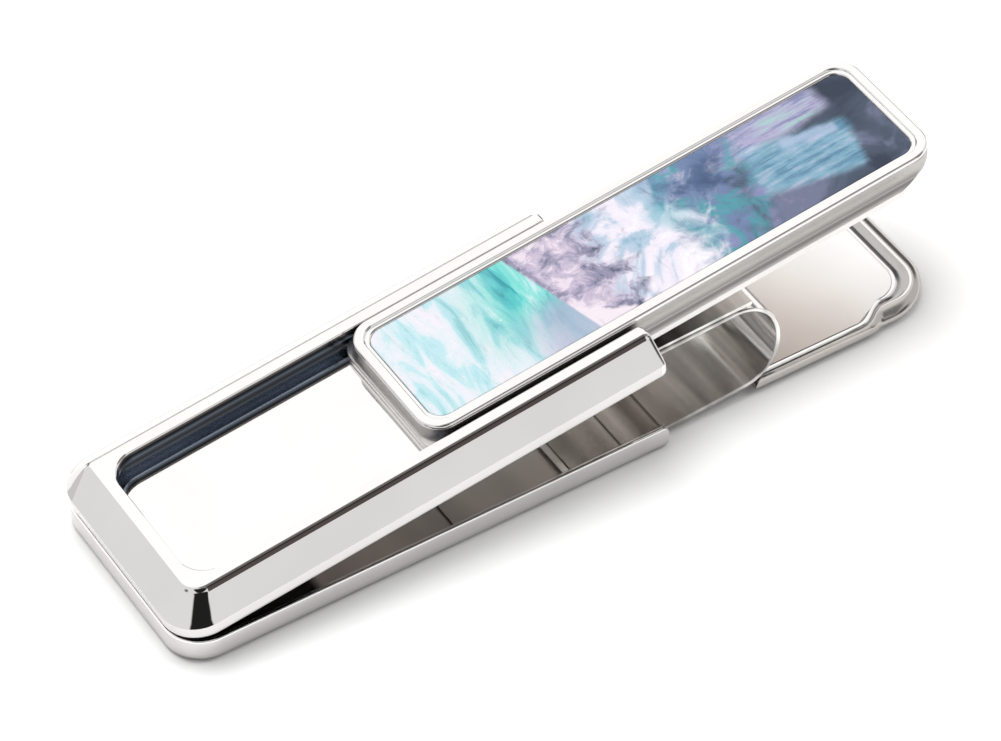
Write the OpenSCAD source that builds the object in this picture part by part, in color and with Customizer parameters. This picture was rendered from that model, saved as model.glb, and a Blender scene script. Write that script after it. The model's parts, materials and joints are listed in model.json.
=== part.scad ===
// Sliding-arm money clip.
// Two polished frames are hinged at the front. A top arm with a pearl inlay and a lower jaw plate
// slide in the frames, and a U-shaped leaf spring joins them. It is drawn with the arms drawn out
// and the jaws open, flat on its lower frame.
// X runs from the hinged front to the jaw tips, Y across, Z up. The origin is the middle of the
// bounding box, on the surface that the clip stands on. Sizes are in millimetres.

/* [Clip] */
// Width across the frames
clip_w = 19; // [18.8:0.1:20]
// Length of the upper frame
upper_len = 41.2; // [40.5:0.1:41.4]
// Length of the lower frame
lower_len = 41.1; // [40.5:0.1:41.4]
// Length from the front edge to the jaw tip with the arms out
open_len = 67.3; // [66.8:0.1:68]
// Angle of the upper frame with the jaws open
open_angle = 7.68; // [7.4:0.01:7.9]
// Stroke of both arms
travel = 19.6; // [15:0.1:19.6]

/* [Frames] */
// Radius of the front corners in plan
corner_r = 3; // [2.8:0.1:3.4]
// Height of the upper frame
upper_h = 2.78; // [2.7:0.01:2.9]
// Height of the upright skirt below the upper frame's bevel
skirt_h = 1; // [0.9:0.05:1.1]
// Run of the side bevel of the upper frame
side_bevel = 2.15; // [2:0.05:2.25]
// Run of the front bevel of the upper frame
front_bevel = 2.24; // [2.1:0.02:2.4]
// Height of the lower frame
lower_h = 2.15; // [2:0.05:2.2]
// Radius of the lower frame's bottom edge
lower_round = 0.6; // [0.4:0.05:0.7]
// Height of the upper frame's lower face at the front edge
seam_z = 2.43; // [2.4:0.01:2.5]

/* [Arms] */
// Width of the bezel
bezel_w = 12.22; // [12:0.02:12.3]
// Width of the bezel's ring
ring_w = 1.1; // [0.9:0.05:1.3]
// Depth of the inlay's face below the bezel's face
inlay_drop = 0.3; // [0.2:0.02:0.4]
// Thickness of the inlay
inlay_t = 0.8; // [0.5:0.05:1]
// Width of the jaw plate where it runs in the lower frame
jaw_w = 17.1; // [16.8:0.05:17.1]

/* [Spring] */
// Thickness of the spring strip
strip_t = 0.35; // [0.25:0.01:0.38]
// Inner radius of the bend
bend_r = 3.3; // [3.2:0.05:3.35]
// Width of the strip on the jaw plate
strip_w_low = 16.9; // [16:0.1:17]
// Width of the strip under the top arm
strip_w_top = 14.7; // [14:0.1:15]

/* [Hidden] */

half_w = clip_w / 2;
arc_n = 10;            // straight edges along each quarter-turn of an outline
skin = 0.01;           // thickness of the slabs that a hull joins
over = 1;              // how far a cutter passes an open face
mid_x = (open_len - skirt_h * sin(open_angle)) / 2;

// upper frame, in its own tilted coordinates
edge_break = 0.15;
recess_half = 6.45;
recess_x = 3.15;
recess_r = 2.2;
lip_z = 1.8;           // underside of the rail lips
groove_half = 7;       // the arm's flange runs under the lips
groove_x = 2.6;
floor_z = [0.5, 0.87];
floor_half = 7.6;
floor_x = 1.8;
cavity_half = 8.6;     // cavity below the floor
cavity_x = 0.9;

// top arm
arm_u = [23.24, 68.06];
arm_top = 3.2;
bezel_t = 0.3;
block_z = 1.5;         // underside of the arm beyond its flange
flange_z = [0.92, 1.54];
flange_half = 6.9;
flange_u = [22.95, 65.8];
arm_r = 2;
fillet_r = 0.79;       // hollow between the arm's side and its flange
pocket_u = [arm_u[0] + ring_w, arm_u[1] - ring_w];
pocket_half = bezel_w / 2 - ring_w;
pocket_r = 1.3;
inlay_z = [arm_top - inlay_drop - inlay_t, arm_top - inlay_drop];

// guide post, through the open-ended slot in the floor
post_u = 46;
post_r = 1.6;
post_low = -0.2;
slot_gap = 0.25;

// lower frame and jaw plate
tray_floor = 0.3;
tray_half = 8.62;
tray_x = 0.9;
track_half = 8.82;     // groove for the jaw plate's foot
track_top = 0.66;
land_half = half_w - 0.25;
slope_z = 1.5;
jaw_x = 23.3;
jaw_z = 0.32;
foot_half = jaw_w / 2 + 0.2;
shank_top = 0.52;
head_top = 1.3;
ramp_x = [49.9, 50.9]; // where the shank rises to the head
foot_end = 41.3;       // front end of the wide feet that run in the lower frame
waist_x = [41.3, 49.6]; // where the shank is narrower, under the strip's lower leg
waist_half = 7.6;
step_x = [60.5, 61.4]; // the jaw narrows to its tip between these
tip_half = 8.3;
tip_r = 4.8;
panel_x = [51.2, 64.7];
panel_half = 7.6;
panel_tip_half = 6.3;  // the panel narrows with the jaw
panel_step = [59.6, 62.4];
panel_r = 2.3;
panel_t = 0.2;

// hinge
hinge_x = 2;
hinge_z = 2.2;
pin_r = 0.45;
pin_clear = 0.03;
knuckle_r = 0.88;
web_half = 0.7;        // half thickness of the web that carries a knuckle
web_t = 0.3;           // thickness of the tongue that joins the upper knuckle to its frame
knuckle_half = 3;      // half length of the upper knuckle
block_y = [3.1, 6.5];  // length of each lower knuckle

// spring, clamp plate and spring plate
bend_x = 48.4;
bend_z = 4.67;
pad_x = 32.6;          // end of the strip on the jaw plate
crease_x = 41.3;       // where the strip lifts off the jaw plate
clamp_x = [33.2, 37.7];
clamp_half = 8.3;
clamp_t = 0.15;
plate_u = [38.5, 42];  // the spring plate is level between these, then sinks to the bend
plate_end_x = 49.7;
plate_top = 0.3;
plate_t = 0.33;
plate_half = 7.3;
plate_gap = 0.02;

// outline of a bar along X, with round corners at its two ends
function corner(cx, cy, r, a0) = [for (i = [0:arc_n]) [cx + r * cos(a0 + 90 * i / arc_n),
    cy + r * sin(a0 + 90 * i / arc_n)]];
function bar_outline(x0, x1, half, r0, r1) = concat(
    r1 > 0 ? corner(x1 - r1, half - r1, r1, 0) : [[x1, half]],
    r0 > 0 ? corner(x0 + r0, half - r0, r0, 90) : [[x0, half]],
    r0 > 0 ? corner(x0 + r0, r0 - half, r0, 180) : [[x0, -half]],
    r1 > 0 ? corner(x1 - r1, r1 - half, r1, 270) : [[x1, -half]]);

// a flat bar between two heights
module bar(x0, x1, half, r0, r1, z0, z1)
    translate([0, 0, z0])
        linear_extrude(z1 - z0)
            polygon(bar_outline(x0, x1, half, r0, r1));

// a side view in X and Z, carried straight across from -half to half
module across(points, half)
    translate([0, half, 0])
        rotate([90, 0, 0])
            linear_extrude(2 * half)
                polygon(points);

// a round pin along Y between two places
module pin_y(x, z, r, y0, y1)
    translate([x, y1, z])
        rotate([90, 0, 0])
            cylinder(h = y1 - y0, r = r, $fn = 48);

// the whole clip is centred on its length
module place()
    translate([-mid_x, 0, 0])
        children();

// the upper body is tilted about the front edge of its lower face
module tilt()
    place()
        translate([0, 0, seam_z])
            rotate([0, -open_angle, 0])
                children();

// a place in the tilted coordinates as the untilted ones see it, and the other way round
function side(u, w) = [u * cos(open_angle) - w * sin(open_angle),
    seam_z + u * sin(open_angle) + w * cos(open_angle)];
function tilted(x, z) = [x * cos(open_angle) + (z - seam_z) * sin(open_angle),
    (z - seam_z) * cos(open_angle) - x * sin(open_angle)];

// ---- lower body ----

module tray_slab(inset, z)
    bar(inset, lower_len, half_w - inset, corner_r - inset, 0, z, z + skin);

module lower_knuckle(s) {
    y0 = s > 0 ? block_y[0] : -block_y[1];
    y1 = s > 0 ? block_y[1] : -block_y[0];
    pin_y(hinge_x, hinge_z, knuckle_r, y0, y1);
    translate([hinge_x - web_half, y0, tray_floor - skin])
        cube([2 * web_half, y1 - y0, hinge_z - tray_floor + skin]);
}

module lower_frame()
    color("gainsboro")
        place()
            difference() {
                union() {
                    difference() {
                        hull() {
                            for (a = [0:18:72])
                                tray_slab(lower_round * (1 - sin(a)), lower_round * (1 - cos(a)));
                            bar(0, lower_len, half_w, corner_r, 0, lower_round, lower_h);
                        }
                        bar(tray_x, lower_len + over, tray_half, corner_r - tray_x, 0, tray_floor,
                            lower_h + over);
                        bar(tray_x + 1, lower_len + over, track_half, corner_r - tray_x, 0, tray_floor,
                            track_top);
                        hull() {
                            bar(tray_x, lower_len + over, tray_half, corner_r - tray_x, 0, slope_z,
                                slope_z + skin);
                            bar(half_w - land_half, lower_len + over, land_half, corner_r - tray_x, 0,
                                lower_h, lower_h + skin);
                        }
                    }
                    for (s = [-1, 1])
                        lower_knuckle(s);
                }
                pin_y(hinge_x, hinge_z, pin_r, -block_y[1] - over, block_y[1] + over);
            }

module hinge_pin()
    color("dimgray")
        place()
            pin_y(hinge_x, hinge_z, pin_r, -block_y[1], block_y[1]);

// ---- upper body, in its tilted coordinates ----

hinge_at = tilted(hinge_x, hinge_z);

module cap_slab(inset, front, r, z)
    bar(front, upper_len, half_w - inset, r, 0, z, z + skin);

module upper_frame()
    color("gainsboro")
        tilt()
            difference() {
                union() {
                    difference() {
                        hull() {
                            cap_slab(edge_break, edge_break, corner_r - edge_break, 0);
                            bar(0, upper_len, half_w, corner_r, 0, edge_break, skirt_h);
                            cap_slab(side_bevel, front_bevel, 0, upper_h - skin);
                        }
                        bar(recess_x, upper_len + over, recess_half, recess_r, 0, floor_z[1] - skin,
                            upper_h + over);
                        bar(groove_x, upper_len + over, groove_half, recess_r, 0, floor_z[1] - skin, lip_z);
                        bar(floor_x, upper_len + over, floor_half, 1, 0, floor_z[0] - skin, floor_z[1]);
                        bar(cavity_x, upper_len + over, cavity_half, corner_r - cavity_x, 0, -over,
                            floor_z[0]);
                    }
                    pin_y(hinge_at[0], hinge_at[1], knuckle_r, -knuckle_half, knuckle_half);
                    translate([cavity_x - over / 2, -knuckle_half, floor_z[0] - web_t])
                        cube([hinge_at[0] + web_half - cavity_x + over / 2, 2 * knuckle_half,
                            web_t - skin]);
                    translate([hinge_at[0] - web_half, -knuckle_half, hinge_at[1]])
                        cube([2 * web_half, 2 * knuckle_half, floor_z[0] - skin - hinge_at[1]]);
                }
                pin_y(hinge_at[0], hinge_at[1], pin_r + pin_clear, -half_w, half_w);
            }

module floor_plate()
    color("whitesmoke")
        tilt()
            difference() {
                bar(floor_x, upper_len, floor_half, 1, 0, floor_z[0], floor_z[1]);
                bar(post_u - travel - post_r - slot_gap, upper_len + over, post_r + slot_gap,
                    post_r + slot_gap - skin, 0, floor_z[0] - over, floor_z[1] + over);
            }

// ---- top arm, in the same tilted coordinates ----

module side_hollow(s)
    translate([flange_u[0] + arm_r + 0.3, 0, 0])
        rotate([90, 0, 90])
            linear_extrude(flange_u[1] - flange_u[0] - 2 * arm_r - 0.6)
                polygon(concat([[s * (bezel_w / 2 - skin), flange_z[1] - skin]],
                    [for (i = [0:8]) [s * (bezel_w / 2 + fillet_r * (1 - cos(90 * i / 8))),
                        flange_z[1] + fillet_r * (1 - sin(90 * i / 8))]],
                    [[s * (bezel_w / 2 + fillet_r), flange_z[1] - skin]]));

module top_slide()
    color("gainsboro")
        tilt()
            difference() {
                union() {
                    bar(arm_u[0], arm_u[1], bezel_w / 2, arm_r, arm_r, block_z, arm_top - bezel_t);
                    bar(flange_u[0], flange_u[1], flange_half, arm_r, arm_r, flange_z[0], flange_z[1]);
                    for (s = [-1, 1])
                        side_hollow(s);
                }
                bar(pocket_u[0], pocket_u[1], pocket_half, pocket_r, pocket_r, inlay_z[0], arm_top + over);
            }

module bezel()
    color("whitesmoke")
        tilt()
            difference() {
                bar(arm_u[0], arm_u[1], bezel_w / 2, arm_r, arm_r, arm_top - bezel_t, arm_top);
                bar(pocket_u[0], pocket_u[1], pocket_half, pocket_r, pocket_r, inlay_z[0], arm_top + over);
            }

module pearl_inlay()
    color("paleturquoise")
        tilt()
            bar(pocket_u[0], pocket_u[1], pocket_half, pocket_r, pocket_r, inlay_z[0], inlay_z[1]);

module post_shape()
    translate([post_u, 0, post_low])
        cylinder(h = flange_z[0] - post_low, r = post_r, $fn = 48);

module guide_post()
    color("rosybrown")
        tilt()
            post_shape();

// ---- spring ----

// centre line of the strip in side view: two straight legs that run tangent into the bend
strip_r = bend_r + strip_t / 2;
bend_at = [bend_x, bend_z];
pad_z = shank_top + strip_t / 2;
leg_w = plate_top - plate_t - plate_gap - strip_t / 2;
low_from = [crease_x, pad_z];
top_from = side(plate_u[1], leg_w);
function heading(p) = atan2(bend_at[1] - p[1], bend_at[0] - p[0]);
low_lean = heading(low_from) - asin(strip_r / norm(bend_at - low_from));
top_lean = heading(top_from) + asin(strip_r / norm(bend_at - top_from));
bend_n = 24;
bend_arc = [for (i = [0:bend_n]) low_lean - 90 + (180 + top_lean - low_lean) * i / bend_n];
center_line = concat([[pad_x, pad_z], low_from],
    [for (a = bend_arc) bend_at + strip_r * [cos(a), sin(a)]],
    [top_from, side(plate_u[0], leg_w)]);

function unit(v) = v / norm(v);
function along(line, i) = unit(line[min(i + 1, len(line) - 1)] - line[max(i - 1, 0)]);
function beside(line, i, d) = line[i] + d * [-along(line, i)[1], along(line, i)[0]];
function ribbon(line, d0, d1) = concat([for (i = [0:len(line) - 1]) beside(line, i, d0)],
    [for (i = [len(line) - 1:-1:0]) beside(line, i, d1)]);

module spring_band()
    color("silver")
        place()
            intersection() {
                across(ribbon(center_line, -strip_t / 2, strip_t / 2), half_w);
                rotate([90, 0, 90])
                    linear_extrude(open_len)
                        polygon([[-strip_w_low / 2, 0], [strip_w_low / 2, 0],
                            [strip_w_low / 2, shank_top + strip_t],
                            [strip_w_top / 2, bend_z + strip_r + strip_t],
                            [-strip_w_top / 2, bend_z + strip_r + strip_t],
                            [-strip_w_low / 2, shank_top + strip_t]]);
            }

// the spring plate lies along the strip's upper leg
plate_end = top_from + (plate_end_x - top_from[0]) * [1, tan(top_lean)];
plate_line = [side(plate_u[0], leg_w), top_from, plate_end];

module spring_plate()
    color("silver")
        difference() {
            place()
                across(ribbon(plate_line, strip_t / 2 + plate_gap, strip_t / 2 + plate_gap + plate_t),
                    plate_half);
            tilt()
                translate([post_u, 0, -over])
                    cylinder(h = 2 * over, r = post_r, $fn = 48);
        }

// ---- jaw body ----

function ogee(s, i) = [step_x[0] + (step_x[1] - step_x[0]) * i / 8,
    s * (jaw_w / 2 - (jaw_w / 2 - tip_half) * (1 - cos(180 * i / 8)) / 2)];

module jaw_outline()
    polygon(concat([[jaw_x, jaw_w / 2], [jaw_x, -jaw_w / 2]],
        [for (i = [0:8]) ogee(-1, i)],
        corner(open_len - tip_r, tip_r - tip_half, tip_r, 270),
        corner(open_len - tip_r, tip_half - tip_r, tip_r, 0),
        [for (i = [8:-1:0]) ogee(1, i)]));

module panel_shape(z0, z1)
    translate([0, 0, z0])
        linear_extrude(z1 - z0)
            polygon(concat([[panel_x[0], panel_half], [panel_x[0], -panel_half],
                [panel_step[0], -panel_half], [panel_step[1], -panel_tip_half]],
                corner(panel_x[1] - panel_r, panel_r - panel_tip_half, panel_r, 270),
                corner(panel_x[1] - panel_r, panel_tip_half - panel_r, panel_r, 0),
                [[panel_step[1], panel_tip_half], [panel_step[0], panel_half]]));

module jaw_slide()
    color("gainsboro")
        place()
            difference() {
                union() {
                    intersection() {
                        translate([0, 0, jaw_z])
                            linear_extrude(head_top - jaw_z)
                                jaw_outline();
                        across([[jaw_x, jaw_z], [jaw_x, shank_top], [ramp_x[0], shank_top],
                            [ramp_x[1], head_top], [open_len, head_top], [open_len, jaw_z + 0.13],
                            [step_x[1], jaw_z + 0.13], [step_x[0], jaw_z]], half_w);
                    }
                    bar(jaw_x, foot_end, foot_half, 0, 0, jaw_z, shank_top);
                }
                panel_shape(head_top - panel_t, head_top + over);
                for (s = [-1, 1])
                    translate([(waist_x[0] + waist_x[1]) / 2, s * (waist_half + half_w / 2), head_top / 2])
                        cube([waist_x[1] - waist_x[0], half_w, head_top + 2 * over], center = true);
            }

module jaw_panel()
    color("whitesmoke")
        place()
            panel_shape(head_top - panel_t, head_top);

module clamp_plate()
    color("darkgray")
        place()
            bar(clamp_x[0], clamp_x[1], clamp_half, 0, 0, shank_top + strip_t,
                shank_top + strip_t + clamp_t);

lower_frame();
hinge_pin();
upper_frame();
floor_plate();
top_slide();
bezel();
pearl_inlay();
guide_post();
spring_plate();
jaw_slide();
jaw_panel();
clamp_plate();
spring_band();
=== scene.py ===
import math, json
import bpy, bmesh
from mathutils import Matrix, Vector


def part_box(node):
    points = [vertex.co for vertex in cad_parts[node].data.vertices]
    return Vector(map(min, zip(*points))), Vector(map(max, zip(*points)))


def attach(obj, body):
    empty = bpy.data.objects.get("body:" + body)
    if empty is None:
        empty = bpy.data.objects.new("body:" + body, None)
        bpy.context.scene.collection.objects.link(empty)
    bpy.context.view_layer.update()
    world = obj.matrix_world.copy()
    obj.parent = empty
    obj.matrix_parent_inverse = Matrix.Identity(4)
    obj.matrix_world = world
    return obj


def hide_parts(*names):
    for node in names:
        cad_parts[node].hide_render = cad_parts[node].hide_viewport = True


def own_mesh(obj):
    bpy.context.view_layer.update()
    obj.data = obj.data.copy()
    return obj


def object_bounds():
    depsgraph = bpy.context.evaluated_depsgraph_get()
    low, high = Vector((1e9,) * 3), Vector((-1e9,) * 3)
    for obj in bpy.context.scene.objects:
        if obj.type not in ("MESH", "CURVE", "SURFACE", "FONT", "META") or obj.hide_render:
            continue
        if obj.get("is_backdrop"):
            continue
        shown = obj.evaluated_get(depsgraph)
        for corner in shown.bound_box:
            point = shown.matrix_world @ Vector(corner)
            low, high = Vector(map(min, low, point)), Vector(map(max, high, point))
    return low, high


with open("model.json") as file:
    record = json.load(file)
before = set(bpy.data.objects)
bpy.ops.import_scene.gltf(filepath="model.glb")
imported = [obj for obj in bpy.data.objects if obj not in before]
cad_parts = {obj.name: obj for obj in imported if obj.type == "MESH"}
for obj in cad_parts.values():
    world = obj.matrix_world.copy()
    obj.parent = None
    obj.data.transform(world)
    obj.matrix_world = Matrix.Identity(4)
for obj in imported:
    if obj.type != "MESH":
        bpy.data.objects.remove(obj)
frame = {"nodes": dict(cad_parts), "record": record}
start_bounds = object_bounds()

# ---- the model's own millimetres: x from the front edge, y from the middle line, z from the table ----
MM = 0.001
X0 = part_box("lower_frame")[0][0]
SLIDE = next(j["axis"] for j in frame["record"]["behaviour"]["joints"] if j["name"] == "arm_slide")
OPENING = math.atan2(-SLIDE[2], -SLIDE[0])
CA, SA = math.cos(OPENING), math.sin(OPENING)
SEAM = 2.43                                         # height of the upper frame's lower face at the front

# both frames
HALF = 9.5
CORNER = 3.0
UPPER_END, LOWER_END = 41.2, 41.1
RAIL_BEAD = 0.5                                     # length of the rounding at an upper rail's end
PIVOT_X, PIVOT_Z, BARREL_R = 2.0, 2.2, 0.88

# arm: the bezel's outline, and the window that its ring leaves for the inlay
ARM_HALF, ARM_FRONT, ARM_END = 6.11, 23.24, 68.06
RING = 1.10
WINDOW_R = 1.3

# jaw and strip
SHANK_FRONT, SHANK_END = 23.3, 51.0
SHANK_Z = (0.32, 0.52)
FOOT_HALF, WAIST_HALF = 8.75, 7.6
CREASE_X = 41.3                                     # where the shank narrows and the strip lifts off it
STRIP_T = 0.35
PAD_X = 32.6                                        # the end of the strip's lower leg
PLATE_T, PLATE_TOP = 0.33, 0.3
PLATE_U = (38.5, 42)                                # the spring plate is level between these
LEG_GAP = 0.02                                      # between the strip's upper leg and the spring plate


def up(u, v, w):
    """A point given in the upper frame's own directions."""
    return (X0 + (u * CA - w * SA) * MM, v * MM, (SEAM + u * SA + w * CA) * MM)


def low(x, v, z):
    return (X0 + x * MM, v * MM, z * MM)


def grey(level):
    return (level, level, level)


# ---- materials ----
class Nodes:
    """Adds nodes to a tree. A node's input is a constant, or the output of another node."""
    def __init__(self, tree):
        self.tree = tree

    def n(self, kind, inputs=None, **props):
        node = self.tree.nodes.new(kind)
        for key, value in props.items():
            setattr(node, key, value)
        for key, value in (inputs or {}).items():
            self.put(node.inputs[key], value)
        return node

    def put(self, socket, value):
        if isinstance(value, bpy.types.NodeSocket):
            self.tree.links.new(value, socket)
        else:
            socket.default_value = value

    def math(self, op, a, b=0.0):
        return self.n("ShaderNodeMath", {0: a, 1: b}, operation=op).outputs[0]

    def times(self, a, b):
        return self.math("MULTIPLY", a, b)

    def dot(self, vector, direction):
        return self.n("ShaderNodeVectorMath", {0: vector, 1: tuple(direction)},
                      operation="DOT_PRODUCT").outputs["Value"]

    def between(self, x, lo, hi, ease="LINEAR"):
        """0 below lo, 1 above hi."""
        return self.n("ShaderNodeMapRange", {0: x, 1: lo, 2: hi, 3: 0.0, 4: 1.0},
                      interpolation_type=ease).outputs[0]


class Mat(Nodes):
    """A material round a Principled BSDF, with coordinates fixed to the object."""
    def __init__(self, name):
        self.mat = bpy.data.materials.new(name)
        self.mat.use_nodes = True
        super().__init__(self.mat.node_tree)
        self.bsdf = self.tree.nodes["Principled BSDF"]

    def set(self, **values):
        for key, value in values.items():
            self.put(self.bsdf.inputs[key.replace("_", " ")], value)

    def coords(self, shift=(0, 0, 0), scale=(1, 1, 1), unit=1000):
        """Object coordinates, in millimetres where unit is 1000."""
        place = self.n("ShaderNodeTexCoord").outputs["Object"]
        return self.n("ShaderNodeMapping", {"Vector": place, "Location": shift,
                                            "Scale": tuple(unit * s for s in scale)}).outputs[0]

    def noise(self, vector, scale, detail=3.0, rough=0.5, distort=0.0):
        return self.n("ShaderNodeTexNoise", {"Vector": vector, "Scale": scale, "Detail": detail,
                                             "Roughness": rough, "Distortion": distort}).outputs[0]

    def ramp(self, factor, stops, ease="EASE"):
        node = self.n("ShaderNodeValToRGB", {0: factor})
        elements = node.color_ramp.elements
        node.color_ramp.interpolation = ease
        while len(elements) > 1:
            elements.remove(elements[-1])
        for i, (position, colour) in enumerate(stops):
            stop = elements.new(position) if i else elements[0]
            stop.position = position
            stop.color = (*colour, 1)
        return node.outputs[0]

    def mix(self, factor, a, b, mode="MIX"):
        node = self.n("ShaderNodeMix", {0: factor}, data_type="RGBA", blend_type=mode)
        for index, colour in ((6, a), (7, b)):      # the node's two colour inputs
            self.put(node.inputs[index], colour if isinstance(colour, bpy.types.NodeSocket) else (*colour, 1))
        return node.outputs[2]

    def bump(self, height, distance, strength):
        node = self.n("ShaderNodeBump", {"Strength": strength, "Distance": distance, "Height": height})
        self.put(self.bsdf.inputs["Normal"], node.outputs[0])


def metal(name, tint, smooth, rough, stretch=(1, 1, 1), grain=0.0, freq=3.0, band=None, depth=0.955,
          painted_light=None):
    """Polished or brushed metal, whose roughness varies from smooth to rough and colour from depth to 1.
    stretch sets the fine pattern, grain its height in mm, and band the pattern of the colour.
    The last argument is a direction, a shift in mm and stops of (mm, colour) that the colour is multiplied
    by, which paints light and shade onto the metal."""
    m = Mat(name)
    if band:
        cloud = m.noise(m.coords(scale=band), 1.0, 2.0)
    else:
        cloud = m.noise(m.coords(), 0.12, 2.0)
    fine = m.noise(m.coords(scale=stretch), freq, 4.0, 0.6)
    colour = m.ramp(cloud, [(0.3, tuple(c * depth for c in tint)), (0.7, tint)])
    if painted_light:
        direction, shift, stops = painted_light
        lo, hi = stops[0][0], stops[-1][0]
        place = m.n("ShaderNodeTexCoord").outputs["Object"]
        distance = m.math("ADD", m.dot(place, (c / MM for c in direction)), shift)
        tones = [((at - lo) / (hi - lo), tone) for at, tone in stops]
        colour = m.mix(1.0, colour, m.ramp(m.between(distance, lo, hi), tones, "LINEAR"), "MULTIPLY")
    m.set(Base_Color=colour, Metallic=1.0, Roughness=m.math("ADD", m.times(fine, rough - smooth), smooth))
    if grain:
        m.bump(fine, grain * MM, 0.25)
    return m.mat


def backwards(*stops):
    """A painted light and shade grade along the object, in millimetres from the front edge."""
    return ((1, 0, 0), -X0 / MM, stops)


CHROME = metal("polished_chrome", (0.94, 0.93, 0.92), 0.015, 0.045)
# painted reflection: a darker tint of the chrome for the skirts, the bottom and parts of the bevel's foot on
# the far side
WALL_REFLECTION = metal("polished_wall_painted_reflection", (0.75, 0.735, 0.725), 0.02, 0.06)
# painted reflection: a darker tint for the bevel along the far rail
FAR_REFLECTION = metal("far_bevel_painted_reflection", (0.80, 0.785, 0.77), 0.03, 0.08)
# painted reflection: nearly black lines along both bullnoses of the upper frame
EDGE_REFLECTION = metal("dark_edge_painted_reflection", (0.11, 0.09, 0.085), 0.03, 0.07)
MIRROR = metal("mirror_floor", (0.95, 0.945, 0.94), 0.03, 0.07)
SIDE = metal("satin_side", (0.86, 0.84, 0.82), 0.30, 0.42, stretch=(0.15, 3, 6), grain=0.002)
BRUSHED = metal("brushed_side", (0.55, 0.53, 0.51), 0.34, 0.50, stretch=(2, 4, 4), grain=0.02, freq=6.0)
SPRING = metal("satin_spring", (0.97, 0.945, 0.92), 0.10, 0.20, band=(0.55, 0.03, 0.35), depth=0.55)
# painted reflection: a darker tint for the jaw's rim and for lines on the upper frame
RIM_REFLECTION = metal("jaw_rim_painted_reflection", (0.60, 0.565, 0.54), 0.14, 0.24)
BEAD = metal("jaw_bead", (0.93, 0.92, 0.91), 0.10, 0.18)
# painted shade: a darker tint in the jaw's valley
VALLEY_SHADE = metal("jaw_valley_painted_shade", (0.52, 0.50, 0.49), 0.16, 0.26)
DULL = metal("dull_steel", (0.42, 0.38, 0.35), 0.25, 0.45, grain=0.005)
BOSS = metal("brown_boss", (0.42, 0.27, 0.20), 0.22, 0.4, grain=0.004)

# painted shade: the lower frame's outer wall is darker towards the table
LOWER_SHADE = metal("lower_wall_painted_shade", (0.90, 0.88, 0.87), 0.02, 0.06, painted_light=((0, 0, 1), 0.0, [
    (0.0, grey(0.42)), (0.45, grey(0.62)), (0.9, grey(0.74)), (2.2, grey(0.78))]))

# painted shade: a dark band and a dark crease line where the strip leaves the lower frame
STRIP_METAL_AND_SHADE = metal("strip", (0.97, 0.945, 0.92), 0.10, 0.20, band=(0.55, 0.04, 0.35), depth=0.52, painted_light=backwards(
    (37.6, grey(1.0)), (38.6, grey(0.95)), (39.9, (0.30, 0.28, 0.27)), (41.0, (0.62, 0.59, 0.57)),
    (41.1, grey(0.20)), (41.25, grey(0.20)), (41.35, (0.74, 0.71, 0.69)), (46, grey(0.85)),
    (52.2, grey(1.0))))

# painted light: the clamp plate is darker towards the hinge, with a painted highlight line and a painted
# shadow line at its outer edge
CLAMP_METAL_AND_LIGHT = metal("clamp", (0.93, 0.91, 0.89), 0.18, 0.28, painted_light=backwards(
    (33.2, (0.62, 0.60, 0.58)), (36.6, (0.72, 0.70, 0.68)), (37.3, grey(1.0)), (37.5, grey(0.85)),
    (37.56, grey(0.22)), (37.7, grey(0.22))))

# painted reflection: a slanting grade over the jaw's panel
PANEL_REFLECTION = metal("mirror_panel_painted_reflection", (0.96, 0.955, 0.95), 0.20, 0.27, painted_light=((0.88, 0.47, 0), -X0 / MM * 0.88, [
    (42, (0.54, 0.49, 0.46)), (46.5, (0.64, 0.59, 0.56)), (51, (0.84, 0.81, 0.79)), (56, grey(1))]))

# painted shade: a dark brownish metal for the faces inside the frames and for the jaw's shank, nearly black
# near the hinge
INNER_SHADE = metal("inner_face_painted_shade", (0.62, 0.575, 0.545), 0.30, 0.42, band=(0.14, 0.04, 0.1), depth=0.62,
              painted_light=backwards((0, grey(0.03)), (11.7, grey(0.04)), (12.4, grey(1)), (42, grey(1))))

# painted reflection: bands by height on the upper frame's recess walls
RECESS_REFLECTION = metal("recess_wall_painted_reflection", (0.62, 0.63, 0.66), 0.16, 0.24, band=(0.08, 0.4, 0.8), depth=0.75,
               painted_light=((-SA, 0, CA), X0 / MM * SA - SEAM * CA, [
                   (0.8, grey(0.05)), (1.82, (0.60, 0.68, 0.80)), (2.0, (0.30, 0.36, 0.44)),
                   (2.2, (0.06, 0.07, 0.085)), (2.42, (0.05, 0.05, 0.055)), (2.50, (0.55, 0.50, 0.47)),
                   (2.57, (0.24, 0.17, 0.13)), (2.68, (0.80, 0.76, 0.73))]))


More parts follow.
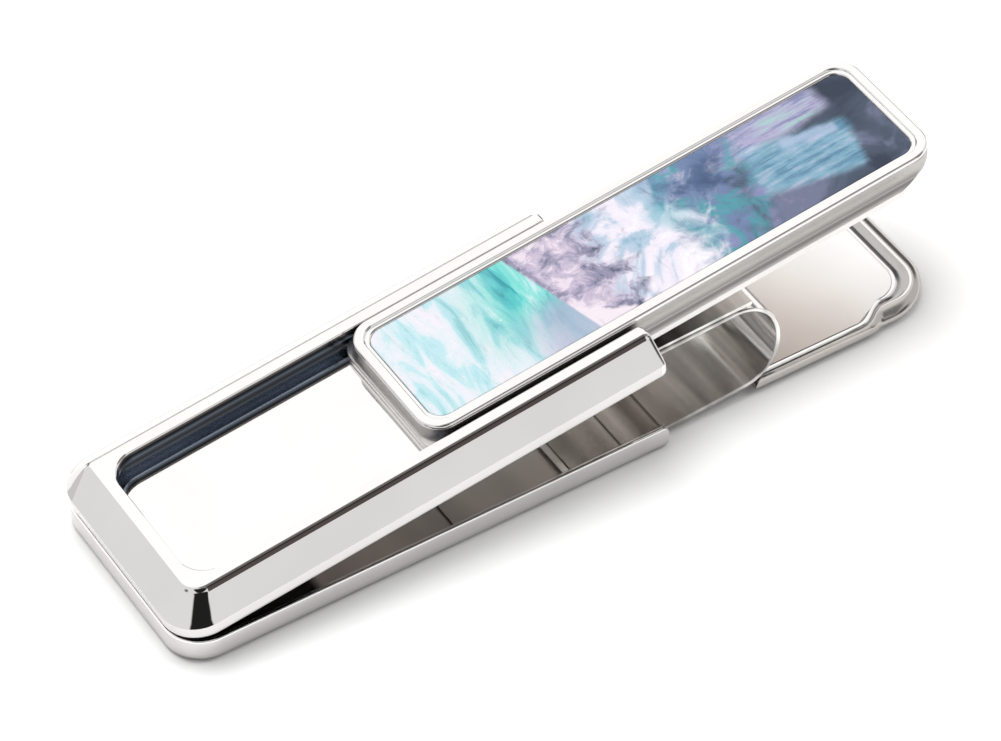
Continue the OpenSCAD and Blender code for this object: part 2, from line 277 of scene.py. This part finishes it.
def pearl():
    """Mother-of-pearl in zones from the front end: pale and green, mauve, white, blue, slate with blocks.
    Places are centimetres from the inlay's near front corner, except share, which runs from 0 to 1."""
    m = Mat("pearl")
    lo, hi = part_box("pearl_inlay")
    cm = 100
    place = m.coords(shift=(-lo[0] * cm, -lo[1] * cm, 0), scale=(1, 1, 0), unit=cm)
    split = m.n("ShaderNodeSeparateXYZ", {0: place})
    x, y = split.outputs[0], split.outputs[1]
    share = m.math("DIVIDE", x, (hi[0] - lo[0]) * cm)

    def turned(degrees, sx, sy):
        return m.n("ShaderNodeMapping", {"Vector": place, "Rotation": (0, 0, math.radians(degrees)),
                                         "Scale": (sx, sy, 1)}).outputs[0]

    def step(value, at, width):
        return m.between(value, at - width, at + width, "SMOOTHSTEP")

    def less(a, b):
        return m.math("SUBTRACT", a, b)

    def more(a, b):
        return m.math("ADD", a, b)

    streak = m.noise(turned(12, 4.2, 0.9), 1.3, 7.0, 0.62, 0.8)
    fibre = m.noise(turned(20, 9.0, 1.3), 2.4, 8.0, 0.72, 0.5)
    lines = m.noise(turned(-24, 1.0, 9.0), 2.2, 6.0, 0.7, 0.2)
    cloud = m.noise(place, 1.25, 6.0, 0.56, 1.3)
    haze = m.noise(place, 1.7, 5.0, 0.55, 0.7)
    small = m.noise(place, 6.0, 6.0, 0.62, 0.7)
    arcs = m.noise(turned(30, 1.0, 1.0), 0.9, 1.0, 0.4, 0.8)
    centred = less(small, 0.5)
    ragged = m.times(centred, 0.09)

    def block(cx, cy, half_x, half_y, degrees, soft):
        """1 inside a turned rectangle with ragged sides."""
        cosine, sine = math.cos(math.radians(degrees)), math.sin(math.radians(degrees))
        dx = more(less(x, cx), ragged)
        dy = less(less(y, cy), ragged)
        along = more(m.times(dx, cosine), m.times(dy, sine))
        across = less(m.times(dy, cosine), m.times(dx, sine))
        in_x = less(1.0, step(m.math("ABSOLUTE", along), half_x, soft))
        in_y = less(1.0, step(m.math("ABSOLUTE", across), half_y, soft))
        return m.times(in_x, in_y)

    pale = m.ramp(streak, [(0.32, (0.30, 0.58, 0.60)), (0.42, (0.48, 0.72, 0.76)),
                           (0.50, (0.70, 0.76, 0.80)), (0.60, (0.80, 0.76, 0.82)),
                           (0.70, (0.42, 0.70, 0.68))])
    green = m.ramp(streak, [(0.34, (0.03, 0.30, 0.34)), (0.44, (0.08, 0.50, 0.50)),
                            (0.54, (0.20, 0.66, 0.60)), (0.66, (0.52, 0.74, 0.76))])
    slant = more(share, m.times(y, -0.05))
    front = m.mix(m.times(step(slant, 0.15, 0.08), step(y, 0.25, 0.30)), pale, green)
    corner = m.times(step(slant, 0.23, 0.05), less(0.75, step(y, 0.48, 0.22)))
    front = m.mix(corner, front, (0.34, 0.38, 0.52))

    mauve = m.ramp(small, [(0.30, (0.07, 0.09, 0.14)), (0.42, (0.26, 0.25, 0.36)), (0.53, (0.50, 0.44, 0.56)),
                           (0.64, (0.76, 0.66, 0.74))])
    mauve = m.mix(step(cloud, 0.54, 0.04), mauve, (0.80, 0.72, 0.78))

    white = m.ramp(cloud, [(0.32, (0.14, 0.34, 0.44)), (0.42, (0.42, 0.54, 0.66)), (0.49, (0.78, 0.74, 0.82)),
                           (0.60, (0.86, 0.84, 0.88)), (0.70, (0.70, 0.56, 0.70))])
    ring = m.times(step(arcs, 0.50, 0.025), less(1.0, step(arcs, 0.56, 0.03)))
    white = m.mix(m.times(ring, 0.65), white, (0.26, 0.50, 0.58))

    blue = m.ramp(haze, [(0.28, (0.030, 0.055, 0.11)), (0.40, (0.075, 0.12, 0.23)),
                         (0.48, (0.15, 0.21, 0.36)), (0.55, (0.08, 0.30, 0.36)),
                         (0.62, (0.22, 0.24, 0.42)), (0.72, (0.44, 0.30, 0.52))])

    slate = m.ramp(haze, [(0.35, (0.030, 0.042, 0.070)), (0.50, (0.060, 0.080, 0.120)),
                          (0.64, (0.15, 0.17, 0.26))])
    sky = m.ramp(more(m.times(lines, 0.6), m.times(haze, 0.4)),
                 [(0.36, (0.06, 0.12, 0.20)), (0.45, (0.12, 0.27, 0.40)), (0.53, (0.22, 0.42, 0.54)),
                  (0.62, (0.44, 0.52, 0.66))])
    lilac = m.ramp(lines, [(0.38, (0.24, 0.26, 0.44)), (0.52, (0.46, 0.44, 0.62)),
                           (0.64, (0.40, 0.66, 0.62))])
    slate = m.mix(m.times(block(3.34, 0.88, 0.60, 0.17, 5, 0.06), 0.85), slate, lilac)
    slate = m.mix(m.times(block(3.50, 0.44, 0.42, 0.25, -14, 0.05), 0.85), slate, sky)
    slate = m.mix(m.times(block(3.66, 0.60, 0.22, 0.05, -14, 0.03), 0.7), slate, (0.40, 0.48, 0.64))

    cut = more(share, m.times(y, 0.055))
    wavy = more(share, m.times(centred, 0.25))
    colour = m.mix(step(cut, 0.335, 0.003), front, mauve)
    colour = m.mix(step(wavy, 0.43, 0.04), colour, white)
    colour = m.mix(step(wavy, 0.59, 0.05), colour, blue)
    colour = m.mix(step(less(wavy, m.times(y, 0.05)), 0.69, 0.05), colour, slate)
    colour = m.mix(0.65, colour, m.ramp(fibre, [(0.26, (0.55, 0.60, 0.64)), (0.44, grey(1))]), "MULTIPLY")
    glint = m.n("ShaderNodeTexVoronoi", {"Vector": place, "Scale": 2.2}).outputs[0]
    colour = m.mix(m.math("LESS_THAN", glint, 0.022), colour, (0.85, 0.88, 0.92))
    colour = m.mix(1.0, colour, (0.86, 0.86, 0.87), "MULTIPLY")
    m.set(Base_Color=colour, Metallic=0.1, Roughness=m.ramp(small, [(0.3, grey(0.20)), (0.7, grey(0.34))]),
          Specular_IOR_Level=0.2, Coat_Weight=0.12, Coat_Roughness=0.05)
    m.bump(fibre, 0.01 * MM, 0.12)
    return m.mat


PEARL = pearl()

# ---- outlines, as points from above ----
ARC = 14                                            # faces in a quarter turn
FRONT_FACE = ARC + 1                                # of u_path: the far rail is 0, then the far corner


def arc(cx, cy, r, start):
    """A quarter turn, counter-clockwise from a start angle in degrees."""
    turns = [math.radians(start + 90 * i / ARC) for i in range(ARC + 1)]
    return [(cx + r * math.cos(t), cy + r * math.sin(t)) for t in turns]


def inset(d):
    """Half width, front and corner radius of the frames' outline, drawn in by d."""
    return (HALF - d, d, CORNER - d)


def u_path(half, front, r, end, far_r=None):
    """Open outline of a frame: from the far rail's end, round the front, to the near rail's end."""
    q = far_r or r
    corners = arc(front + q, half - q, q, 90) + arc(front + r, r - half, r, 180)
    return [(end, half)] + corners + [(end, -half)]


def ring_path(half, front, end, front_r, end_r):
    """Closed outline of the arm."""
    return (arc(end - end_r, half - end_r, end_r, 0) + arc(front + front_r, half - front_r, front_r, 90)
            + arc(front + front_r, front_r - half, front_r, 180) + arc(end - end_r, end_r - half, end_r, 270))


def jaw_path(front, side, half, tip, r, xa, xb):
    """Outline of the jaw's head: straight sides, a drop between xa and xb, and a narrower rounded tip."""
    near = [(front + (xa - front) * i / 4, -side) for i in range(4)]
    near += [(xa + (xb - xa) * i / 8, -side + (side - half) * (1 - math.cos(math.pi * i / 8)) / 2)
             for i in range(9)]
    near += arc(tip - r, r - half, r, 270)
    return near + [(x, -y) for x, y in reversed(near)]


# ---- meshes ----
CAP = -1                                            # the row that metal_at is asked about for a cap


def make(name, bm, mats, body, stands, angle=32):
    bmesh.ops.remove_doubles(bm, verts=bm.verts, dist=1e-7)
    bmesh.ops.recalc_face_normals(bm, faces=bm.faces)
    mesh = bpy.data.meshes.new(name)
    bm.to_mesh(mesh)
    bm.free()
    for polygon in mesh.polygons:
        polygon.use_smooth = True
    mesh.set_sharp_from_angle(angle=math.radians(angle))
    ob = bpy.data.objects.new(name, mesh)
    bpy.context.scene.collection.objects.link(ob)
    for mat in mats:
        mesh.materials.append(mat)
    ob.modifiers.new("flat_faces", "WEIGHTED_NORMAL").keep_sharp = True
    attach(ob, body)
    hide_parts(*stands)
    return ob


def bridge(bm, rows, place, mats=(), metal_at=None, closed=True, caps=False, loop=False):
    """Joins rows of (outline points, height) with quads. metal_at(row, column) says which of mats a face
    has, and without it all have the first."""
    def slot_at(row, column):
        return mats.index(metal_at(row, column)) if metal_at else 0

    vs = [[bm.verts.new(place(x, y, z)) for x, y in points] for points, z in rows]
    n = len(vs[0])
    pairs = list(zip(vs, vs[1:])) + ([(vs[-1], vs[0])] if loop else [])
    for row, (p, q) in enumerate(pairs):
        for i in range(n if closed else n - 1):
            j = (i + 1) % n
            bm.faces.new((p[i], p[j], q[j], q[i])).material_index = slot_at(row, i)
    if caps:
        for ends in (vs[0], vs[-1]):
            bm.faces.new(ends).material_index = slot_at(CAP, 0)
    return vs


def barrel(bm, place, x, z, y0, y1, sides=32):
    """A rod across the clip, round the hinge pin."""
    turns = [2 * math.pi * i / sides for i in range(sides)]
    outline = [(x + BARREL_R * math.cos(t), z + BARREL_R * math.sin(t)) for t in turns]
    bridge(bm, [(outline, y0), (outline, y1)], lambda p, q, y: place(p, y, q), caps=True)


def end_bead(bm, column, ahead):
    """Rounds off the end of a rail: rings that shrink towards its middle while they go ahead."""
    mid = sum((v.co for v in column), Vector()) / len(column)
    last = column
    for shrink, go in ((0.03, 0.26), (0.09, 0.42), (0.20, RAIL_BEAD)):
        ring = [bm.verts.new(v.co + (mid - v.co) * shrink + ahead * go * MM) for v in column]
        for i in range(len(ring)):
            j = (i + 1) % len(ring)
            bm.faces.new((last[i], last[j], ring[j], ring[i]))
        last = ring
    bm.faces.new(last)


def upper_frame():
    """Rows of half width, front, corner radius, height and the far corner's radius, where that differs."""
    bm = bmesh.new()
    skirt = [(*inset(0.12), 0.0), (*inset(0.04), 0.04), (*inset(0), 0.14), (*inset(0), 0.30),
             (*inset(0), 0.50), (*inset(0), 0.95), (9.475, 0.025, 2.95, 1.03)]
    bevel = [(9.171, 0.346, 2.66, 1.28, 2.51)]
    bullnose = [(7.76, 1.84, 1.85, 2.44), (7.70, 1.94, 1.75, 2.52), (7.62, 2.06, 1.62, 2.62),
                (7.50, 2.15, 1.48, 2.71), (7.36, 2.22, 1.34, 2.765), (7.20, 2.30, 1.20, 2.78)]
    tight = 0.24                                    # far corner's radius on the bullnose, as a share
    bullnose = [(*row, row[2] * tight) for row in bullnose]
    lip = [(6.60, 3.00, 2.05, 2.78), (6.50, 3.10, 2.15, 2.75)]
    recess = [(6.45, 3.15, 2.20, 2.68), (6.45, 3.15, 2.20, 1.88), (6.52, 3.08, 2.20, 1.80),
              (7.0, 2.6, 2.2, 1.80)]
    inside = [(7.0, 2.6, 2.2, 0.87), (7.6, 1.8, 1.0, 0.87), (7.6, 1.8, 1.0, 0.5), (8.6, 0.9, 2.1, 0.5),
              (8.6, 0.9, 2.1, 0.0)]
    prof = skirt + bevel + bullnose + lip + recess + inside
    rows = [(u_path(half, front, r, UPPER_END - RAIL_BEAD, *far_r), w) for half, front, r, w, *far_r in prof]
    foot = len(skirt) - 1                           # the face row at the bevel's foot
    nose = foot + 2                                 # the bullnose's first face row
    wall = nose + len(bullnose) + len(lip)
    hidden = wall + len(recess)
    bottom = len(prof) - 1
    mats = [CHROME, RECESS_REFLECTION, WALL_REFLECTION, INNER_SHADE, FAR_REFLECTION, RIM_REFLECTION, EDGE_REFLECTION]

    # painted reflection on the skirts, the bevel's foot, the far bevel, the bullnoses and the recess walls;
    # painted shade on the faces inside
    def metal_at(row, column):
        far, near, on_far_side = column <= 6, column >= 2 * ARC + 1, column < FRONT_FACE
        if row == foot:
            return RIM_REFLECTION if far else WALL_REFLECTION if on_far_side else CHROME
        if row == foot + 1:
            return FAR_REFLECTION if column <= 1 else WALL_REFLECTION if on_far_side else CHROME
        if nose <= row <= nose + 3 and (far or near):
            return RIM_REFLECTION if row == nose + 3 else EDGE_REFLECTION
        if row < foot or row == bottom:
            return WALL_REFLECTION
        return INNER_SHADE if row >= hidden else RECESS_REFLECTION if row >= wall else CHROME

    vs = bridge(bm, rows, up, mats, metal_at, closed=False, loop=True)
    for column in ([row[0] for row in vs], [row[-1] for row in vs]):
        end_bead(bm, column, Vector((CA, 0, SA)))
    barrel(bm, up, PIVOT_X * CA + (PIVOT_Z - SEAM) * SA, (PIVOT_Z - SEAM) * CA - PIVOT_X * SA, -3, 3)
    make("upper_frame_shell", bm, mats, "cover", ["upper_frame"])


def lower_frame():
    """Rows of half width, front, corner radius, height, and how far the rails' ends stand back."""
    bm = bmesh.new()
    foot_r = 0.6
    outer = []
    for degrees in (0, 15, 30, 45, 60, 75):
        t = math.radians(degrees)
        outer.append((*inset(foot_r * (1 - math.sin(t))), foot_r * (1 - math.cos(t)), 0.05))
    outer += [(*inset(0), foot_r, 0), (*inset(0), 1.55, 0), (*inset(0), 1.80, 0.06)]
    top = [(*inset(0), 2.03, 0.22), (*inset(0.03), 2.11, 0.36), (*inset(0.10), 2.15, 0.50),
           (*inset(0.22), 2.15, 0.50)]
    inside = [(*inset(0.28), 2.10, 0.40), (8.68, 0.84, 2.16, 1.54, 0), (8.62, 0.9, 2.1, 1.46, 0),
              (8.62, 0.9, 2.1, 0.66, 0), (8.82, 0.9, 2.1, 0.66, 0), (8.82, 0.9, 2.1, 0.3, 0)]
    prof = outer + top + inside
    rows = [(u_path(half, front, r, LOWER_END - back), z) for half, front, r, z, back in prof]
    mats = [CHROME, LOWER_SHADE, INNER_SHADE]

    # painted shade on the outer wall and on the faces inside
    def metal_at(row, column):
        return LOWER_SHADE if row < len(outer) else CHROME if row < len(outer + top) else INNER_SHADE

    vs = bridge(bm, rows, low, mats, metal_at, closed=False)
    for floor, mat in ((vs[0], LOWER_SHADE), (vs[-1], INNER_SHADE)):
        bm.faces.new(floor).material_index = mats.index(mat)
    bm.faces.new([row[0] for row in vs] + [row[-1] for row in reversed(vs)])
    for side in (-1, 1):
        barrel(bm, low, PIVOT_X, PIVOT_Z, side * 3.1, side * 6.5)
    make("lower_frame_shell", bm, mats, "base", ["lower_frame"])


def arm():
    """The shell's rows: half width, front, end, the radii there, height."""
    bm = bmesh.new()
    foot = [(6.84, 23.01, 65.7, 1.95, 1.9, 0.92), (6.90, 22.95, 65.8, 2.0, 2.0, 0.98),
            (6.90, 22.95, 65.8, 2.0, 2.0, 1.47), (6.86, 22.99, 65.86, 2.0, 2.0, 1.53),
            (6.74, 23.03, 66.4, 2.0, 2.0, 1.55), (6.52, 23.10, 67.2, 2.0, 2.1, 1.60)]
    side = [(6.33, 23.16, 67.7, 2.0, 2.1, 1.72), (6.20, 23.21, 67.95, 2.0, 2.1, 1.92),
            (6.13, 23.23, 68.04, 2.0, 2.1, 2.15), (ARM_HALF, ARM_FRONT, ARM_END, 2.0, 2.1, 2.36)]
    window = (ARM_HALF - RING, ARM_FRONT + RING, ARM_END - RING, WINDOW_R, WINDOW_R)
    bed = [(ARM_HALF, ARM_FRONT, ARM_END, 2.0, 2.1, 2.84), (6.05, 23.30, 68.0, 1.95, 2.05, 2.90),
           (*window, 2.90), (*window, 2.11)]
    mats = [SIDE, BRUSHED]
    brushed = range(len(foot), len(foot + side))
    bridge(bm, [(ring_path(*outline), w) for *outline, w in foot + side + bed], up, mats,
           lambda row, column: BRUSHED if row in brushed else SIDE, caps=True)
    make("arm_shell", bm, mats, "arm", ["top_slide"])

    bm = bmesh.new()                                # the bezel's rows: inset, height
    prof = [(0.06, 2.90), (0.0, 2.95), (0.0, 3.06), (0.03, 3.13), (0.10, 3.18), (0.21, 3.20), (0.61, 3.20),
            (0.71, 3.17), (0.77, 3.10), (0.79, 3.04), (0.87, 3.02), (0.97, 3.01), (1.05, 2.985), (1.09, 2.94),
            (RING, 2.60)]
    rows = [(ring_path(ARM_HALF - d, ARM_FRONT + d, ARM_END - d, max(WINDOW_R, 2.0 - d * 0.7),
                       max(WINDOW_R, 2.1 - d * 0.75)), w) for d, w in prof]
    bridge(bm, rows, up, loop=True)
    make("bezel_ring", bm, [CHROME], "arm", ["bezel"])

    bm = bmesh.new()                                # the inlay's rows: inset from the window, height
    half, front, end, *_ = window
    rows = [(ring_path(half - d, front + d, end - d, WINDOW_R - d, WINDOW_R - d), w)
            for d, w in ((0.01, 2.12), (0.01, 2.87), (0.04, 2.92), (0.11, 2.94))]
    bridge(bm, rows, up, caps=True)
    make("inlay_stone", bm, [PEARL], "arm", ["pearl_inlay"])


def jaw():
    """Rows of jaw_path's values and height: up the rim, over a bead, through a valley, over a second bead
    and down to the panel."""
    bm = bmesh.new()
    rim = [(49.6, 8.41, 8.16, 67.16, 4.66, 60.5, 61.4, 0.45),
           (49.6, 8.51, 8.26, 67.26, 4.76, 60.5, 61.4, 0.50),
           (49.6, 8.55, 8.30, 67.3, 4.8, 60.5, 61.4, 0.60),
           (49.6, 8.55, 8.27, 67.26, 4.7, 60.5, 61.4, 0.80),
           (49.7, 8.54, 8.10, 67.08, 4.4, 60.4, 61.6, 1.00),
           (49.9, 8.50, 7.70, 66.76, 3.7, 60.2, 61.9, 1.18),
           (50.1, 8.42, 7.32, 66.46, 3.1, 60.0, 62.1, 1.27)]
    bead = [(50.2, 8.24, 7.10, 66.29, 2.8, 59.8, 62.3, 1.29)]
    valley = [(50.3, 8.16, 6.98, 66.12, 2.7, 59.8, 62.4, 1.25),
              (50.3, 8.10, 6.86, 65.82, 2.6, 59.7, 62.4, 1.10),
              (50.3, 8.06, 6.72, 65.42, 2.6, 59.7, 62.5, 1.10)]
    inner = [(50.3, 8.01, 6.62, 65.14, 2.6, 59.6, 62.5, 1.26),
             (50.3, 7.93, 6.52, 64.98, 2.5, 59.6, 62.5, 1.32),
             (50.3, 7.80, 6.42, 64.86, 2.45, 59.6, 62.5, 1.32),
             (50.3, 7.66, 6.34, 64.76, 2.4, 59.6, 62.4, 1.27),
             (50.3, 7.60, 6.28, 64.68, 2.3, 59.6, 62.4, 1.10)]
    mats = [RIM_REFLECTION, INNER_SHADE, VALLEY_SHADE, BEAD]
    low_part, in_valley = len(rim), range(len(rim + bead), len(rim + bead + valley))
    # painted reflection on the rim, painted shade in the valley and on the shank
    bridge(bm, [(jaw_path(*outline), z) for *outline, z in rim + bead + valley + inner], low, mats,
           lambda row, column: RIM_REFLECTION if row < low_part else VALLEY_SHADE if row in in_valley else BEAD, caps=True)
    shank = [(SHANK_FRONT, FOOT_HALF), (SHANK_FRONT, -FOOT_HALF), (CREASE_X, -FOOT_HALF),
             (CREASE_X, -WAIST_HALF), (SHANK_END, -WAIST_HALF), (SHANK_END, WAIST_HALF),
             (CREASE_X, WAIST_HALF), (CREASE_X, FOOT_HALF)]
    bridge(bm, [(shank, z) for z in SHANK_Z], low, mats, lambda row, column: INNER_SHADE, caps=True)
    make("jaw_shell", bm, mats, "jaw", ["jaw_slide"])


def straight(a, b, pieces):
    """Points from a towards b, without b itself."""
    return [a + (b - a) * i / pieces for i in range(pieces)]


def spring():
    """The strip's side view is made as the solid's: tangents run from a round bend to both legs' creases."""
    bend_r, centre = 3.475, Vector((48.4, 4.67))
    leg = PLATE_TOP - PLATE_T - LEG_GAP - STRIP_T / 2

    def in_cover(u, w):
        return Vector((u * CA - w * SA, SEAM + u * SA + w * CA))

    lower_z = SHANK_Z[1] + STRIP_T / 2
    crease, upper_crease = Vector((CREASE_X, lower_z)), in_cover(PLATE_U[1], leg)
    lower_end, upper_end = Vector((PAD_X, lower_z)), in_cover(PLATE_U[0], leg)

    def slope(point, side):
        """Angle of the line from a point that touches the bend, below it or above it."""
        away = centre - point
        return math.atan2(away.y, away.x) + side * math.asin(bend_r / away.length)

    start, end = slope(crease, -1) - math.pi / 2, slope(upper_crease, 1) + math.pi / 2
    turns = [start + (end - start) * i / 64 for i in range(65)]
    bend = [centre + bend_r * Vector((math.cos(t), math.sin(t))) for t in turns]
    line = straight(lower_end, crease, 4) + straight(crease, bend[0], 6) + bend[:-1]
    line += straight(bend[-1], upper_crease, 5) + straight(upper_crease, upper_end, 3) + [upper_end]

    low_half, low_z, top_half, top_z = 8.45, 0.87, 7.35, 8.5    # the strip narrows on its way up
    chamfer, deep = 0.06, STRIP_T / 2
    bm = bmesh.new()
    rows = []
    for i, p in enumerate(line):
        ahead = (line[min(i + 1, len(line) - 1)] - line[max(i - 1, 0)]).normalized()
        normal = Vector((-ahead.y, ahead.x))
        climbed = min(1.0, max(0.0, (p.y - low_z) / (top_z - low_z)))
        h = low_half + (top_half - low_half) * climbed
        below = [(-h, chamfer - deep), (chamfer - h, -deep), (h - chamfer, -deep), (h, chamfer - deep)]
        section = below + [(y, -s) for y, s in reversed(below)]
        rows.append([bm.verts.new(low(p.x + normal.x * s, y, p.y + normal.y * s)) for y, s in section])
    for p, q in zip(rows, rows[1:]):
        for i in range(len(p)):
            j = (i + 1) % len(p)
            bm.faces.new((p[i], p[j], q[j], q[i]))
    for ends in (rows[0], rows[-1]):
        bm.faces.new(ends)
    ob = make("spring_strip", bm, [STRIP_METAL_AND_SHADE], "jaw", ["spring_band"], angle=40)
    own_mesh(ob)


upper_frame()
lower_frame()
arm()
jaw()
spring()

for node, mat in (("floor_plate", MIRROR), ("jaw_panel", PANEL_REFLECTION), ("spring_plate", SPRING),
                  ("clamp_plate", CLAMP_METAL_AND_LIGHT), ("guide_post", BOSS), ("hinge_pin", DULL)):
    frame["nodes"][node].data.materials.clear()
    frame["nodes"][node].data.materials.append(mat)

# ---- table ----
bpy.ops.mesh.primitive_plane_add(size=40.0, location=(0, 0, -0.00002))
ground = bpy.context.object
ground.name = "ground"
paper = Mat("ground")
patches = paper.noise(paper.coords(unit=20), 1.0)
paper.set(Base_Color=paper.ramp(patches, [(0.3, grey(0.90)), (0.7, grey(0.92))]), Roughness=0.7)
ground.data.materials.append(paper.mat)
ground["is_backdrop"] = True

# ---- world: a pale room with round zones that are darker or brighter ----
ROOM_LEVEL = 0.76
ZONES = (                                           # direction, inner and outer angle, level inside
    ((0.17, 0.72, 0.67), 33, 44, 1.45),             # soft light above the far side
    ((0.17, -0.2, 0.965), 24.5, 27.5, 0.30),        # overhead
    ((-0.42, -0.60, 0.68), 20, 24, 0.02),           # the black patch in the near front corner
    ((0.62, -0.60, 0.50), 11, 17, 0.10),
    ((0.80, 0.50, 0.30), 9, 18, 0.12),
    ((-0.97, -0.05, 0.20), 6, 12, 0.15),
    ((-0.2, 0.93, 0.20), 8, 15, 0.2))

world = bpy.data.worlds.new("studio")
bpy.context.scene.world = world
world.use_nodes = True
room = Nodes(world.node_tree)
ray = room.n("ShaderNodeTexCoord").outputs["Generated"]
level = ROOM_LEVEL
for direction, inner, outer, inside in ZONES:
    toward = room.dot(ray, Vector(direction).normalized())
    zone = room.between(toward, math.cos(math.radians(outer)), math.cos(math.radians(inner)), "SMOOTHSTEP")
    level = room.times(level, room.math("ADD", room.times(zone, inside - 1.0), 1.0))
background = world.node_tree.nodes["Background"]
room.put(background.inputs["Strength"], level)
room.put(background.inputs["Color"], (1.0, 0.99, 0.98, 1))


def lamp(name, place, size, energy):
    """A round lamp that looks at the origin and shows in no reflection."""
    light = bpy.data.lights.new(name, "AREA")
    light.shape, light.size, light.energy = "DISK", size, energy
    ob = bpy.data.objects.new(name, light)
    bpy.context.scene.collection.objects.link(ob)
    ob.location = place
    ob.rotation_euler = (-Vector(place)).to_track_quat("-Z", "Y").to_euler()
    ob.visible_glossy = False


lamp("key", (-0.12, 0.22, 0.75), 0.55, 4.7)
lamp("fill", (0.45, -0.2, 0.55), 0.40, 1.2)

# ---- camera, where the fit to the photo's perspective puts it ----
AZIMUTH, ELEVATION = math.radians(32.543), math.radians(45.931)
AIM = (33.25, 1.342, 3.0)
DISTANCE = 344.5
SENSOR, LENS = 36.0, 166.99

away = Vector((-math.sin(AZIMUTH) * math.cos(ELEVATION), -math.cos(AZIMUTH) * math.cos(ELEVATION),
               math.sin(ELEVATION)))
cam_data = bpy.data.cameras.new("camera")
cam_data.sensor_width, cam_data.lens = SENSOR, LENS
cam_data.clip_start, cam_data.clip_end = 0.01, 10
cam = bpy.data.objects.new("camera", cam_data)
bpy.context.scene.collection.objects.link(cam)
cam.location = Vector(low(*AIM)) + away * DISTANCE * MM
cam.rotation_euler = (-away).to_track_quat("-Z", "Y").to_euler()
bpy.context.scene.camera = cam
bpy.context.scene.view_settings.view_transform = "Standard"

plain = lambda b: [[float(c) for c in corner] for corner in b]
{"after_load": plain(start_bounds), "before_finish": plain(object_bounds())}
